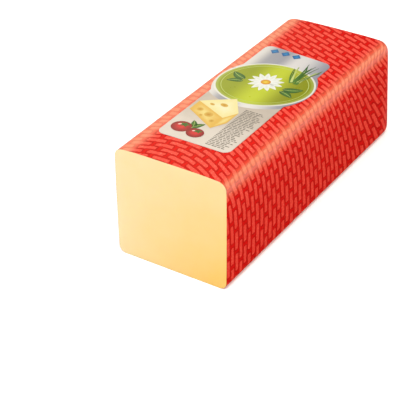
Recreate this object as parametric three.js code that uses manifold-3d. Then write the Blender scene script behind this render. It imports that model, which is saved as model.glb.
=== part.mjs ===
// A loaf-shaped block of pale yellow cheese in a printed shrink bag, with a die-cut label on top.
//
// One end has been sliced off square and shows the bare cheese. The bag hugs the loaf on its other
// five sides, is cut flush with the slice, and ends at the far end in a welded seam whose tail is
// folded down flat. The label is a rounded rectangle with an oval that bulges past both its sides.
//
// Millimetres, +Z up. The cut face looks along -Y and the loaf runs along +Y, standing on z = 0.
import * as THREE from "three";
import { mergeVertices } from "three/addons/utils/BufferGeometryUtils.js";
import Module from "manifold-3d";

// ---- driving dimensions ----
const PACK_WIDTH = 100.4; // outside the bag
const PACK_HEIGHT = 97.5;
const PACK_LENGTH = 277.2; // from the cut face to the far end, measured along the top
const END_SLOPE = 13; // how much further the loaf reaches at its base than at its top

const TOP_EDGE_RADIUS = 6.7; // the four long edges
const BASE_EDGE_RADIUS = 6.2;
const TOP_CROWN = 1.5; // how far the top drops from its middle to its long edges
const SIDE_CROWN = 0.4; // the same for the two sides, from mid-height to top and base
const CROWN_POWER = 4; // a crown this steep stays flat in the middle and curves near the edges

const END_ROUND_TOP = 15; // rounding of the far end's edges: top, sides and base
const END_ROUND_SIDE = 12;
const END_ROUND_BASE = 8;
const END_CORNER_GROWTH = 0.5; // how fast the corners soften as the far end rounds over

const FILM = 0.35; // thickness of the bag
const CLEARANCE = 0.15; // air between touching pieces
const CUT_PROUD = 0.3; // the cheese stands this far out of the bag's cut edge

const SEAM_WIDTH = 64; // the welded seam across the far end, and the tail folded down from it
const SEAM_TAIL = 10;
const SEAM_THICKNESS = 0.9;
const SEAM_STAND_OFF = 0.8; // the tail hangs this far off the end face
const SEAM_BITE = 0.2; // the seam starts this deep in the film

const LABEL_THICKNESS = 0.3;
const LABEL_WIDTH = 65;
const LABEL_NEAR = 34.4; // distance of the label's two ends from the cut face
const LABEL_FAR = 204.3;
const LABEL_SLANT = 5.5; // the far edge is askew: it lies this much further back on the left
const LABEL_CORNER = 6.5;
const LABEL_OFFSET = -2.8; // the label is stuck on a little left of centre
const OVAL_HALF_WIDTH = 41;
const OVAL_HALF_LENGTH = 44;
const OVAL_OFFSET = -1.75;
const OVAL_CENTRE = 143.5; // distance of the oval's centre from the cut face
const OVAL_RISE = 4; // the oval is askew too: its right half lies this much further back

// ---- fineness ----
const CORNER_STEPS = 7;
const TOP_STEPS = 12;
const SIDE_STEPS = 8;
const BASE_STEPS = 4;
const LENGTH_STEPS = 6;
const END_STEPS = 8;
const LABEL_COLUMNS = 10;
const LABEL_CORNER_ROWS = 5;
const LABEL_OVAL_ROWS = 26;

const wasm = await Module();
wasm.setup();

// ---- the loaf's skin, as a stack of closed sections ----

// Points [x, z] of one section, anticlockwise seen from the cut face, starting at the base.
function section({ halfWidth, base, top, topRadius, baseRadius }) {
  const points = [];
  const arc = (x, z, radius, from) => {
    for (let i = 0; i <= CORNER_STEPS; i++) {
      const turn = from + (i / CORNER_STEPS) * (Math.PI / 2);
      points.push([x + radius * Math.cos(turn), z + radius * Math.sin(turn)]);
    }
  };
  const between = (steps, from, to) => {
    for (let i = 1; i < steps; i++) {
      points.push([
        THREE.MathUtils.lerp(from[0], to[0], i / steps),
        THREE.MathUtils.lerp(from[1], to[1], i / steps),
      ]);
    }
  };
  const baseX = halfWidth - baseRadius;
  const topX = halfWidth - topRadius;
  const baseZ = base + baseRadius;
  const topZ = top - topRadius;
  arc(baseX, baseZ, baseRadius, -Math.PI / 2);
  between(SIDE_STEPS, [halfWidth, baseZ], [halfWidth, topZ]);
  arc(topX, topZ, topRadius, 0);
  between(TOP_STEPS, [topX, top], [-topX, top]);
  arc(-topX, topZ, topRadius, Math.PI / 2);
  between(SIDE_STEPS, [-halfWidth, topZ], [-halfWidth, baseZ]);
  arc(-baseX, baseZ, baseRadius, Math.PI);
  between(BASE_STEPS, [-baseX, base], [baseX, base]);
  const middle = (base + top) / 2;
  return points.map(([x, z]) => {
    const across = Math.abs(x / halfWidth);
    const upward = (z - middle) / (top - middle);
    const topDrop = TOP_CROWN * Math.max(upward, 0) ** 2 * across ** CROWN_POWER;
    const sideDrop = SIDE_CROWN * across * Math.abs(upward) ** CROWN_POWER;
    return [x - Math.sign(x) * sideDrop, z - topDrop];
  });
}

// The base reaches further than the top, in proportion to the distance from the cut face.
function lean(x, y, z) {
  const share = (END_SLOPE / PACK_LENGTH) * (1 - z / PACK_HEIGHT);
  return new THREE.Vector3(x, y * (1 + share), z);
}

// Rings of the pack's skin, moved inwards by inset, from the plane y = front to the far end face.
function skinRings(inset, front) {
  const halfWidth = PACK_WIDTH / 2 - inset;
  const base = inset;
  const top = PACK_HEIGHT - inset;
  const end = PACK_LENGTH - inset;
  const rings = [];
  const addRing = (y, shape) => rings.push(section(shape).map(([x, z]) => lean(x, y, z)));
  const roundStart = PACK_LENGTH - END_ROUND_TOP;
  for (let i = 0; i < LENGTH_STEPS; i++) {
    const y = THREE.MathUtils.lerp(front, roundStart, i / LENGTH_STEPS);
    addRing(y, {
      halfWidth,
      base,
      top,
      topRadius: TOP_EDGE_RADIUS - inset,
      baseRadius: BASE_EDGE_RADIUS - inset,
    });
  }
  for (let i = 0; i <= END_STEPS; i++) {
    const turn = (i / END_STEPS) * (Math.PI / 2);
    const inward = 1 - Math.cos(turn);
    const growth = END_CORNER_GROWTH * END_ROUND_TOP * inward;
    addRing(roundStart + (end - roundStart) * Math.sin(turn), {
      halfWidth: halfWidth - (END_ROUND_SIDE - inset) * inward,
      base: base + (END_ROUND_BASE - inset) * inward,
      top: top - (END_ROUND_TOP - inset) * inward,
      topRadius: TOP_EDGE_RADIUS - inset + growth,
      baseRadius: BASE_EDGE_RADIUS - inset + growth,
    });
  }
  return rings;
}

// The middle of a ring, as the pole that a cap closes on.
function middleOf(ring) {
  const sum = ring.reduce((total, point) => total.add(point), new THREE.Vector3());
  return sum.divideScalar(ring.length);
}

// A closed surface that runs from one pole through the rings to another pole.
function closedSkin(firstPole, rings, lastPole) {
  const count = rings[0].length;
  const points = [firstPole, ...rings.flat(), lastPole];
  const last = points.length - 1;
  const at = (ring, i) => 1 + ring * count + (i % count);
  const faces = [];
  for (let i = 0; i < count; i++) {
    faces.push(0, at(0, i), at(0, i + 1));
    for (let ring = 0; ring < rings.length - 1; ring++) {
      faces.push(at(ring, i), at(ring + 1, i), at(ring + 1, i + 1));
      faces.push(at(ring, i), at(ring + 1, i + 1), at(ring, i + 1));
    }
    faces.push(at(rings.length - 1, i), last, at(rings.length - 1, i + 1));
  }
  return indexedGeometry(points, faces);
}

function indexedGeometry(points, faces) {
  const geometry = new THREE.BufferGeometry().setFromPoints(points);
  geometry.setIndex(faces);
  geometry.computeVertexNormals();
  return geometry;
}

// ---- the three pieces ----

function cheeseGeometry() {
  const rings = skinRings(FILM + CLEARANCE, -CUT_PROUD);
  return closedSkin(middleOf(rings[0]), rings, middleOf(rings.at(-1)));
}

// The bag's outer and inner skins are one surface that turns round at the cut edge.
function bagGeometry() {
  const outer = skinRings(0, 0);
  const inner = skinRings(FILM, 0).reverse();
  return closedSkin(middleOf(inner[0]), [...inner, ...outer], middleOf(outer.at(-1)));
}

// The seam's tail: it leaves the end face at mid-height, turns down and hangs along the face.
function seamGeometry() {
  const root = PACK_HEIGHT / 2;
  const face = PACK_LENGTH;
  const outside = face + SEAM_STAND_OFF + SEAM_THICKNESS;
  const profile = new THREE.Shape();
  profile.moveTo(face - SEAM_BITE, root);
  profile.lineTo(face + SEAM_STAND_OFF, root);
  profile.quadraticCurveTo(outside, root, outside, root - SEAM_THICKNESS);
  profile.lineTo(outside, root - SEAM_TAIL);
  profile.lineTo(outside - SEAM_THICKNESS, root - SEAM_TAIL);
  profile.lineTo(outside - SEAM_THICKNESS, root - SEAM_THICKNESS);
  profile.lineTo(face - SEAM_BITE, root - SEAM_THICKNESS);
  profile.closePath();
  const geometry = new THREE.ExtrudeGeometry(profile, {
    depth: SEAM_WIDTH,
    bevelEnabled: false,
    curveSegments: 4,
  });
  // The profile is drawn in (y, z) and pulled along x.
  const position = geometry.getAttribute("position");
  for (let i = 0; i < position.count; i++) {
    const x = position.getZ(i) - SEAM_WIDTH / 2;
    const moved = lean(x, position.getX(i), position.getY(i));
    position.setXYZ(i, moved.x, moved.y, moved.z);
  }
  return geometry;
}

// Where the label starts and ends across the pack, at a distance y from the cut face.
function labelEdges(y) {
  const fromEnd = Math.min(y - LABEL_NEAR, LABEL_FAR - y);
  const intoCorner = Math.max(LABEL_CORNER - fromEnd, 0);
  const cornerInset = LABEL_CORNER - Math.sqrt(Math.max(LABEL_CORNER ** 2 - intoCorner ** 2, 0));
  const half = LABEL_WIDTH / 2 - cornerInset;
  const ovalHalf = (centre) => {
    const along = (y - centre) / OVAL_HALF_LENGTH;
    return OVAL_HALF_WIDTH * Math.sqrt(Math.max(1 - along ** 2, 0));
  };
  return {
    left: Math.min(LABEL_OFFSET - half, OVAL_OFFSET - ovalHalf(OVAL_CENTRE - OVAL_RISE)),
    right: Math.max(LABEL_OFFSET + half, OVAL_OFFSET + ovalHalf(OVAL_CENTRE + OVAL_RISE)),
  };
}

// How far the label is turned askew at a point of its far half.
function labelShift(x, y) {
  const beyond = Math.max((y - OVAL_CENTRE) / (LABEL_FAR - OVAL_CENTRE), 0) ** 2;
  return (-LABEL_SLANT * beyond * (x - LABEL_OFFSET)) / LABEL_WIDTH;
}

// Distances from the cut face at which the label's outline gets a row of points.
function labelRows() {
  const rows = [];
  for (let i = 0; i <= LABEL_CORNER_ROWS; i++) {
    const into = LABEL_CORNER * (1 - Math.cos((i / LABEL_CORNER_ROWS) * (Math.PI / 2)));
    rows.push(LABEL_NEAR + into, LABEL_FAR - into);
  }
  for (let i = 1; i < LABEL_OVAL_ROWS; i++) {
    const y = OVAL_CENTRE - OVAL_HALF_LENGTH * Math.cos((i / LABEL_OVAL_ROWS) * Math.PI);
    rows.push(y);
  }
  return rows.sort((a, b) => a - b);
}

// A thin plate that lies on the crowned top: rows of points across, above and below.
function labelGeometry() {
  const rows = labelRows();
  const stride = LABEL_COLUMNS + 1;
  const under = rows.length * stride;
  const points = [];
  for (const lift of [CLEARANCE + LABEL_THICKNESS, CLEARANCE]) {
    for (const y of rows) {
      const { left, right } = labelEdges(y);
      for (let i = 0; i <= LABEL_COLUMNS; i++) {
        const x = THREE.MathUtils.lerp(left, right, i / LABEL_COLUMNS);
        const drop = TOP_CROWN * Math.abs((2 * x) / PACK_WIDTH) ** CROWN_POWER;
        points.push(new THREE.Vector3(x, y + labelShift(x, y), PACK_HEIGHT - drop + lift));
      }
    }
  }
  const faces = [];
  const quad = (a, b, c, d) => faces.push(a, b, c, a, c, d);
  for (let row = 0; row < rows.length - 1; row++) {
    for (let i = 0; i < LABEL_COLUMNS; i++) {
      const a = row * stride + i;
      const d = a + stride;
      quad(a, a + 1, d + 1, d);
      quad(under + a, under + d, under + d + 1, under + a + 1);
    }
    const left = row * stride;
    const right = left + LABEL_COLUMNS;
    quad(left, left + stride, under + left + stride, under + left);
    quad(right, under + right, under + right + stride, right + stride);
  }
  for (let i = 0; i < LABEL_COLUMNS; i++) {
    const far = (rows.length - 1) * stride + i;
    quad(i, under + i, under + i + 1, i + 1);
    quad(far, far + 1, under + far + 1, under + far);
  }
  return indexedGeometry(points, faces);
}

// ---- joining two closed meshes ----

function toSolid(geometry) {
  const bare = geometry.clone();
  bare.deleteAttribute("normal");
  bare.deleteAttribute("uv");
  const merged = mergeVertices(bare, 1e-4);
  return new wasm.Manifold(
    new wasm.Mesh({
      numProp: 3,
      vertProperties: merged.getAttribute("position").array,
      triVerts: new Uint32Array(merged.getIndex().array),
    }),
  );
}

function toGeometry(solid) {
  const mesh = solid.getMesh();
  const geometry = new THREE.BufferGeometry();
  geometry.setAttribute("position", new THREE.BufferAttribute(mesh.vertProperties, 3));
  geometry.setIndex(new THREE.BufferAttribute(mesh.triVerts, 1));
  geometry.computeVertexNormals();
  return geometry;
}

// ---- the object ----

function piece(name, geometry, color, roughness) {
  const material = new THREE.MeshStandardMaterial({ color, roughness, metalness: 0 });
  const mesh = new THREE.Mesh(geometry, material);
  mesh.name = name;
  return mesh;
}

const bag = toGeometry(toSolid(bagGeometry()).add(toSolid(seamGeometry())));

const pack = new THREE.Group();
pack.add(piece("cheese", cheeseGeometry(), 0xf9d98f, 0.45));
pack.add(piece("bag", bag, 0xd3281d, 0.3));
pack.add(piece("label", labelGeometry(), 0xb9c46a, 0.35));

// The origin is under the middle of the whole pack.
const bounds = new THREE.Box3().setFromObject(pack);
pack.position.y = -(bounds.min.y + bounds.max.y) / 2;
pack.updateMatrixWorld(true);

const block = new THREE.Group();
block.add(pack);

export default block;
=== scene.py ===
# %% [markdown]
# # A block of cheese in its printed bag
#
# This lesson dresses a plain solid model of a cheese block: a loaf of pale yellow cheese, sliced off
# square at one end, in a tight red bag with a label on top. The solid model gives every piece its
# place and size, and this script gives it its looks.
#
# The loaf could be one rounded box with a picture on it. Instead each piece is a surface worked out
# with numpy from a few sizes, so that all follow the same skin and can be looked at from any side.

# %% Load the frame
import math
from functools import partialmethod

import bpy
import numpy as np
from mathutils import Matrix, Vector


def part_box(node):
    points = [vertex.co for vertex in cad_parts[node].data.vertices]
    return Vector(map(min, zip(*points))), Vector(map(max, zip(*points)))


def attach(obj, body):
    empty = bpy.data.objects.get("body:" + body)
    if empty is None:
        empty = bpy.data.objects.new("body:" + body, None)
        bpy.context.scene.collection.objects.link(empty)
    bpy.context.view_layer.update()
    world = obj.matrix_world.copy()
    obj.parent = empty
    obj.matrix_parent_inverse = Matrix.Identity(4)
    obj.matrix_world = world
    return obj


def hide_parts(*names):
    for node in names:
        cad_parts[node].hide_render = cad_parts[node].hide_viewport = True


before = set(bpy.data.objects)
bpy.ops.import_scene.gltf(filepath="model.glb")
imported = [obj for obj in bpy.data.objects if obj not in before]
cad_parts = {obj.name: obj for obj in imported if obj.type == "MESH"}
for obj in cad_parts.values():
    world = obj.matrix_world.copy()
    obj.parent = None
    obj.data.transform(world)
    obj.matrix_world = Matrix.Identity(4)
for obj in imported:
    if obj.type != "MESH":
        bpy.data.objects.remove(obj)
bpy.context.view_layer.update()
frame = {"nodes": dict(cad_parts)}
print("pieces of the solid model:", ", ".join(frame["nodes"]))

# %% [markdown]
# ## Where things are
#
# All sizes are in millimetres, measured from the cut end: x from the middle, y backwards from the
# bag's cut edge and z up from the table. The solid model's box gives the width, the height and the
# cut edge. The length of the top and the slope of the far end are given, as a box can't show them.
# Five small helpers go with them: two for changes from 0 to 1, and three that take points, objects
# and viewpoints into the scene.

# %% Sizes of the pack
MM = 0.001

bag_low, bag_high = (np.array(corner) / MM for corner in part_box("bag"))
PACK_WIDTH, _, PACK_HEIGHT = bag_high - bag_low
CUT = bag_low[1]

PACK_LENGTH = 277.2  # along the top
END_SLOPE = 13.0  # how much longer the loaf is at its base

TOP_EDGE_RADIUS = 6.7
BASE_EDGE_RADIUS = 6.2
TOP_CROWN = 1.5
SIDE_CROWN = 0.4
CROWN_POWER = 4

END_ROUND_TOP = 15.0
END_ROUND_SIDE = 12.0
END_ROUND_BASE = 8.0
END_CORNER_GROWTH = 0.5

print(f"the pack is {PACK_WIDTH:.1f} mm wide and {PACK_HEIGHT:.1f} mm high, cut at y = {CUT:.1f} mm")


# %% Small helpers
def share_of(value, low, high):
    """0 up to low, 1 from high, and straight between."""
    return np.clip((value - low) / (high - low), 0, 1)


def smooth_step(value, low, high):
    """0 up to low, 1 from high, and 3t² - 2t³ between."""
    share = share_of(value, low, high)
    return share * share * (3 - 2 * share)


def to_frame(points):
    """Pack millimetres as the solid model's metres."""
    return (points + [0.0, CUT, 0.0]) * MM


def add_object(name, data):
    """An object in the scene with that mesh, lamp or camera."""
    made = bpy.data.objects.new(name, data)
    bpy.context.collection.objects.link(made)
    return made


def stand(thing, place, right, up, back):
    """Puts a camera or a lamp at a place in metres, looking away from back."""
    pose = np.eye(4)
    pose[:3, :3] = np.column_stack([right, up, back])
    pose[:3, 3] = place
    thing.matrix_world = Matrix(pose.tolist())


# %% [markdown]
# ## The camera
#
# The camera stands in front of the block, to its right and well above it, so that the cut face, the
# long side and the top all show. Its place was found by fitting the block's outline. It is a point
# measured from the foot of the cut face, and three turns. A long lens keeps the perspective gentle.

# %% Camera
CAMERA_PLACE = np.array([472.0, -685.7, 613.6])
CAMERA_YAW = math.radians(-32.99)
CAMERA_PITCH = math.radians(-33.38)
CAMERA_ROLL = math.radians(-0.75)
SENSOR_WIDTH = 36.0
FOCAL_SHARE = 1321.9 / 400  # focal length over the picture's width
NEAREST_SEEN = 0.01


def camera_axes(yaw, pitch, roll):
    """The camera's right, up and back directions. Forward is +Y turned by yaw and tipped by pitch,
    right is forward × Z, and roll turns right and up about forward."""
    forward = np.array([math.sin(yaw) * math.cos(pitch), math.cos(yaw) * math.cos(pitch), math.sin(pitch)])
    level = np.cross(forward, [0.0, 0.0, 1.0])
    level /= np.linalg.norm(level)
    upright = np.cross(level, forward)
    right = math.cos(roll) * level + math.sin(roll) * upright
    up = math.cos(roll) * upright - math.sin(roll) * level
    return right, up, -forward


camera_data = bpy.data.cameras.new("camera")
camera_data.sensor_width = SENSOR_WIDTH
camera_data.lens = SENSOR_WIDTH * FOCAL_SHARE
camera_data.clip_start = NEAREST_SEEN
camera = add_object("camera", camera_data)
stand(camera, to_frame(CAMERA_PLACE), *camera_axes(CAMERA_YAW, CAMERA_PITCH, CAMERA_ROLL))
bpy.context.scene.camera = camera
print(f"a {camera_data.lens:.0f} mm lens, {np.linalg.norm(CAMERA_PLACE):.0f} mm from the cut face")

# %% [markdown]
# ## The skin of the loaf
#
# Every piece follows the loaf's skin. Its cross-section is a square with rounded corners whose top
# and sides swell a little. It could be drawn as arcs and lines in turn, but a single rule is shorter:
# each point lies between two corner arcs, at a share of the way from one to the other, and looks in
# one direction. On an arc the direction turns, and on a straight side the share grows. The stack of
# sections is then one sum on arrays of rings by columns.

# %% The columns around the loaf
CORNER_SIDE = np.array([1, 1, -1, -1])  # right base, right top, left top, left base
CORNER_IS_TOP = np.array([False, True, True, False])


def columns_around(corner_steps, side_steps, top_steps, base_steps):
    """For each column the corner it leaves, the corner it heads for, the share of the way and the
    direction it faces. They start at the middle of the base and run anticlockwise, seen from the cut
    face."""
    quarter = math.pi / 2
    stretches = [((3, 0, 0.5, -quarter), (3, 0, 1.0, -quarter), base_steps // 2)]
    for corner, steps in enumerate((side_steps, top_steps, side_steps, 0)):
        facing = (corner - 1) * quarter
        turned = facing + quarter
        stretches.append(((corner, corner, 0.0, facing), (corner, corner, 0.0, turned), corner_steps))
        stretches.append(((corner, corner + 1, 0.0, turned), (corner, corner + 1, 1.0, turned), steps))
    stretches.append(((3, 0, 0.0, 3 * quarter), (3, 0, 0.5, 3 * quarter), base_steps // 2))
    columns = [np.linspace(first, last, steps, endpoint=False) for first, last, steps in stretches]
    leaving, heading, share, turn = np.concatenate(columns).T
    return leaving.astype(int), heading.astype(int), share, turn


COLUMNS = columns_around(corner_steps=14, side_steps=40, top_steps=56, base_steps=40)
print(f"{len(COLUMNS[0])} columns around the loaf")


# %% Sections, and the lean of the far end
def sections(half_width, base, top, top_radius, base_radius):
    """The x and z of rings × columns. A point is its corner's centre plus the radius in the direction
    it faces, blended between two corners by its share. The top then drops and the sides draw in by
    their crowns, as the distance from the middle to the power CROWN_POWER."""
    leaving, heading, share, turn = COLUMNS

    def spot(corner):
        is_top = CORNER_IS_TOP[corner]
        radius = np.where(is_top, top_radius, base_radius)
        x = CORNER_SIDE[corner] * (half_width - radius) + radius * np.cos(turn)
        z = np.where(is_top, top - radius, base + radius) + radius * np.sin(turn)
        return np.stack([x, z])

    x, z = (1 - share) * spot(leaving) + share * spot(heading)
    across = np.abs(x) / half_width
    middle = (base + top) / 2
    upward = (z - middle) / (top - middle)
    pinch = SIDE_CROWN * across * np.abs(upward) ** CROWN_POWER
    drop = TOP_CROWN * np.clip(upward, 0, 1) ** 2 * across**CROWN_POWER
    return x - np.sign(x) * pinch, z - drop


def lean(points):
    """The far end slopes: y grows in proportion to itself, by END_SLOPE in all at the base and by
    nothing at the top."""
    leaning = points.copy()
    leaning[..., 1] *= 1 + END_SLOPE / PACK_LENGTH * (1 - points[..., 2] / PACK_HEIGHT)
    return leaning


def rings_at(inset, stations, inward):
    """Rings × columns × 3. A ring stands at its station y, drawn in from the skin by inset, and by
    the end rounding's radii times inward: 0 on the straight part, 1 on the end face."""
    y, inward = (np.asarray(values, float)[:, None] for values in (stations, inward))
    growth = END_CORNER_GROWTH * END_ROUND_TOP * inward
    x, z = sections(
        half_width=PACK_WIDTH / 2 - inset - (END_ROUND_SIDE - inset) * inward,
        base=inset + (END_ROUND_BASE - inset) * inward,
        top=PACK_HEIGHT - inset - (END_ROUND_TOP - inset) * inward,
        top_radius=TOP_EDGE_RADIUS - inset + growth,
        base_radius=BASE_EDGE_RADIUS - inset + growth,
    )
    return lean(np.stack(np.broadcast_arrays(x, y, z), axis=-1))


def skin(inset, stations, end_steps):
    """Straight rings at the stations, then the end rounding as a quarter turn: y follows the sine and
    the inward share is one minus the cosine."""
    turn = np.linspace(0, math.pi / 2, end_steps)
    start = PACK_LENGTH - END_ROUND_TOP
    round_y = start + (PACK_LENGTH - inset - start) * np.sin(turn)
    y = np.concatenate([stations, round_y])
    inward = np.concatenate([np.zeros(len(stations)), 1 - np.cos(turn)])
    return rings_at(inset, y, inward)


# %% [markdown]
# ## From rings to a mesh
#
# All pieces are closed surfaces of one kind: rings of points with a pole at each end that closes
# them. That fits a loaf, a bag that turns round at its cut edge, a flat label and a printed dot
# alike. The rings run anticlockwise seen from the first pole, so that every face points outwards.


# %% Rings to faces
def closed_surface(rings, first_pole=None, last_pole=None):
    """Vertices and faces from rings of points: a fan round the first pole, a quad for each step along
    and around, and a fan round the last pole. A pole is its ring's mean unless it is given."""
    count = rings.shape[1]
    first_pole = rings[0].mean(axis=0) if first_pole is None else first_pole
    last_pole = rings[-1].mean(axis=0) if last_pole is None else last_pole
    vertices = np.concatenate([[first_pole], rings.reshape(-1, 3), [last_pole]])
    here = np.arange(count)
    there = (here + 1) % count
    last = len(vertices) - 1
    start = 1 + count * np.arange(len(rings) - 1)[:, None]
    quads = np.stack([start + here, start + count + here, start + count + there, start + there], axis=-1)
    first_fan = np.stack([np.zeros_like(here), 1 + here, 1 + there], axis=-1)
    last_fan = np.stack([last - count + here, np.full_like(here, last), last - count + there], axis=-1)
    return vertices, first_fan.tolist() + quads.reshape(-1, 4).tolist() + last_fan.tolist()


def corner_coordinates(across, along):
    """Two coordinates for each face corner, in the order of closed_surface's faces. Both have one
    column more than the mesh, so that the last face ends at its own values. A pole takes its ring's
    mean along, and the middle of each face across."""
    here = np.arange(across.shape[1] - 1)
    there = here + 1

    def corners(*sets):
        pairs = [np.stack(np.broadcast_arrays(u, v), axis=-1) for u, v in sets]
        return np.stack(pairs, axis=-2).reshape(-1, 2)

    def at(ring, column):
        return across[ring, column], along[ring, column]

    def pole(ring):
        return (across[ring, here] + across[ring, there]) / 2, along[ring].mean()

    rings = np.arange(len(across) - 1)[:, None]
    first = corners(pole(0), at(0, here), at(0, there))
    quads = corners(at(rings, here), at(rings + 1, here), at(rings + 1, there), at(rings, there))
    last = corners(at(-1, here), pole(-1), at(-1, there))
    return np.concatenate([first, quads, last])


# %% Parts to a finished piece
SHARP_ANGLE = math.radians(50)


def make_piece(name, parts, material, replaced=()):
    """One object from parts, a list of (vertices in pack millimetres, faces). It rides on the block
    and hides the solid model's pieces that it replaces."""
    vertices, faces = [], []
    for part_vertices, part_faces in parts:
        first = len(vertices)
        vertices.extend(to_frame(part_vertices).tolist())
        faces.extend([[first + corner for corner in face] for face in part_faces])
    mesh = bpy.data.meshes.new(name)
    mesh.from_pydata(vertices, [], faces)
    mesh.polygons.foreach_set("use_smooth", [True] * len(faces))
    mesh.set_sharp_from_angle(angle=SHARP_ANGLE)
    mesh.materials.append(material)
    piece = add_object(name, mesh)
    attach(piece, "root")
    for node in replaced:
        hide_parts(node)
    print(f"{name}: {len(vertices)} points, {len(faces)} faces")
    return piece


def store_on_points(piece, name, values):
    """A named value on each point of a piece, for its material to read."""
    piece.data.attributes.new(name, "FLOAT", "POINT").data.foreach_set("value", values)


# %% [markdown]
# ## Finishes as sums
#
# A material is a small graph of nodes. A rule such as "the colour deepens with x times z" is easier
# to read as a sum, so the class below adds a Math node for each step of ordinary arithmetic. Colours
# are written as they are seen on a screen, from 0 to 255.


# %% Node helpers
def seen(colour, light=1.0):
    """A screen colour as a surface colour: light is ((c / 255 + 0.055) / 1.055) to the power 2.4, and
    the surface sends back its share of the light that falls on it."""
    return (*(((np.array(colour) / 255 + 0.055) / 1.055) ** 2.4 / light).tolist(), 1.0)


def fill(node, inputs):
    """Sets sockets by name or number. A Value is linked and anything else is set as it is."""
    for key, value in inputs.items():
        if isinstance(value, Value):
            value.tree.links.new(value.socket, node.inputs[key])
        else:
            node.inputs[key].default_value = value


def put(tree, kind, inputs=None, output=0, **settings):
    """One new node. Gives back one of its outputs as a Value."""
    made = tree.nodes.new(kind)
    for name, setting in settings.items():
        setattr(made, name, setting)
    fill(made, inputs or {})
    return Value(made.outputs[output])


class Value:
    """A number, place or colour that comes out of a node."""

    def __init__(self, socket):
        self.socket = socket
        self.tree = socket.id_data

    def beside(self, name):
        """Another output of the same node."""
        return Value(self.socket.node.outputs[name])

    def calculate(self, operation, *others, clamp=False):
        inputs = dict(enumerate((self, *others)))
        return put(self.tree, "ShaderNodeMath", inputs, operation=operation, use_clamp=clamp)

    def calculate_vector(self, operation, *others):
        inputs = dict(enumerate((self, *others)))
        return put(self.tree, "ShaderNodeVectorMath", inputs, operation=operation)

    __add__ = partialmethod(calculate, "ADD")
    __sub__ = partialmethod(calculate, "SUBTRACT")
    __mul__ = partialmethod(calculate, "MULTIPLY")
    __truediv__ = partialmethod(calculate, "DIVIDE")

    def ramp(self, low, high, to_low=0.0, to_high=1.0):
        """Eased from low..high to to_low..to_high, and held beyond."""
        inputs = dict(enumerate((self, low, high, to_low, to_high)))
        return put(self.tree, "ShaderNodeMapRange", inputs, interpolation_type="SMOOTHSTEP")

    def band(self, start, end, softness):
        """1 between start and end, and 0 outside."""
        return self.ramp(start - softness, start + softness) * self.ramp(end + softness, end - softness)


def noise(place, scale, detail, output=0):
    """Noise as a number, or as a colour if output is 1."""
    inputs = {"Vector": place, "Scale": scale, "Detail": detail}
    return put(place.tree, "ShaderNodeTexNoise", inputs, output)


def mix(share, first, second, mode="MIX"):
    """A colour: first where share is 0 and second where it is 1."""
    inputs = {0: share, 6: first, 7: second}
    return put(share.tree, "ShaderNodeMix", inputs, 2, data_type="RGBA", blend_type=mode)


def mix_numbers(share, first, second):
    return put(share.tree, "ShaderNodeMix", {0: share, 2: first, 3: second}, data_type="FLOAT")


def bump(height, distance):
    """A surface direction from a height, which counts in distance metres."""
    return put(height.tree, "ShaderNodeBump", {"Height": height, "Distance": distance})


def attribute(tree, name):
    return put(tree, "ShaderNodeAttribute", output="Fac", attribute_name=name)


def new_group(name, controls):
    """A node group that takes a Position and some named numbers, and those as Values."""
    group = bpy.data.node_groups.new(name, "ShaderNodeTree")
    group.interface.new_socket(name="Position", in_out="INPUT", socket_type="NodeSocketVector")
    for label, value in controls.items():
        socket = group.interface.new_socket(name=label, in_out="INPUT", socket_type="NodeSocketFloat")
        socket.default_value = value
    start = group.nodes.new("NodeGroupInput")
    return group, {label: Value(start.outputs[label]) for label in ("Position", *controls)}


def end_group(group, results):
    """The named numbers that a group gives back."""
    for label in results:
        group.interface.new_socket(name=label, in_out="OUTPUT", socket_type="NodeSocketFloat")
    fill(group.nodes.new("NodeGroupOutput"), results)


def use_group(group, place, **controls):
    """The group's first result at a place."""
    return put(place.tree, "ShaderNodeGroup", {"Position": place, **controls}, node_tree=group)


def new_material(name):
    """A new material, its node tree and its Principled BSDF."""
    material = bpy.data.materials.new(name)
    material.use_nodes = True
    tree = material.node_tree
    return material, tree, next(made for made in tree.nodes if made.type == "BSDF_PRINCIPLED")


# %% [markdown]
# ## Two effects that several finishes share
#
# Nothing real is one flat colour. A group, "mottle", gives a slow change as a value round zero, and a
# second, "fine relief", the height of a fine uneven surface. Both read a position that the material
# hands them, so that each finish sets its own scale.

# %% Shared groups
MOTTLE, given = new_group("mottle", {"Size": 20.0, "Amount": 1.0})
cloud = noise(given["Position"].calculate_vector("DIVIDE", given["Size"]), scale=1.0, detail=3.0)
end_group(MOTTLE, {"Change": (cloud - 0.5) * given["Amount"]})

RELIEF, given = new_group("fine relief", {"Size": 2.0, "Coarse": 0.6})
scaled = given["Position"].calculate_vector("DIVIDE", given["Size"])
coarse, fine = noise(scaled, scale=0.25, detail=2.0), noise(scaled, scale=1.0, detail=4.0)
end_group(RELIEF, {"Height": mix_numbers(given["Coarse"], fine, coarse)})
print("shared groups:", MOTTLE.name, "and", RELIEF.name)


def pack_position(tree):
    """The point being shaded, in pack millimetres."""
    place = put(tree, "ShaderNodeTexCoord", output="Object")
    return place.calculate_vector("SUBTRACT", (0.0, CUT * MM, 0.0)).calculate_vector("DIVIDE", (MM, MM, MM))


def split(place):
    """A place's x, y and z."""
    x = put(place.tree, "ShaderNodeSeparateXYZ", {0: place})
    return x, x.beside("Y"), x.beside("Z")
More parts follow.
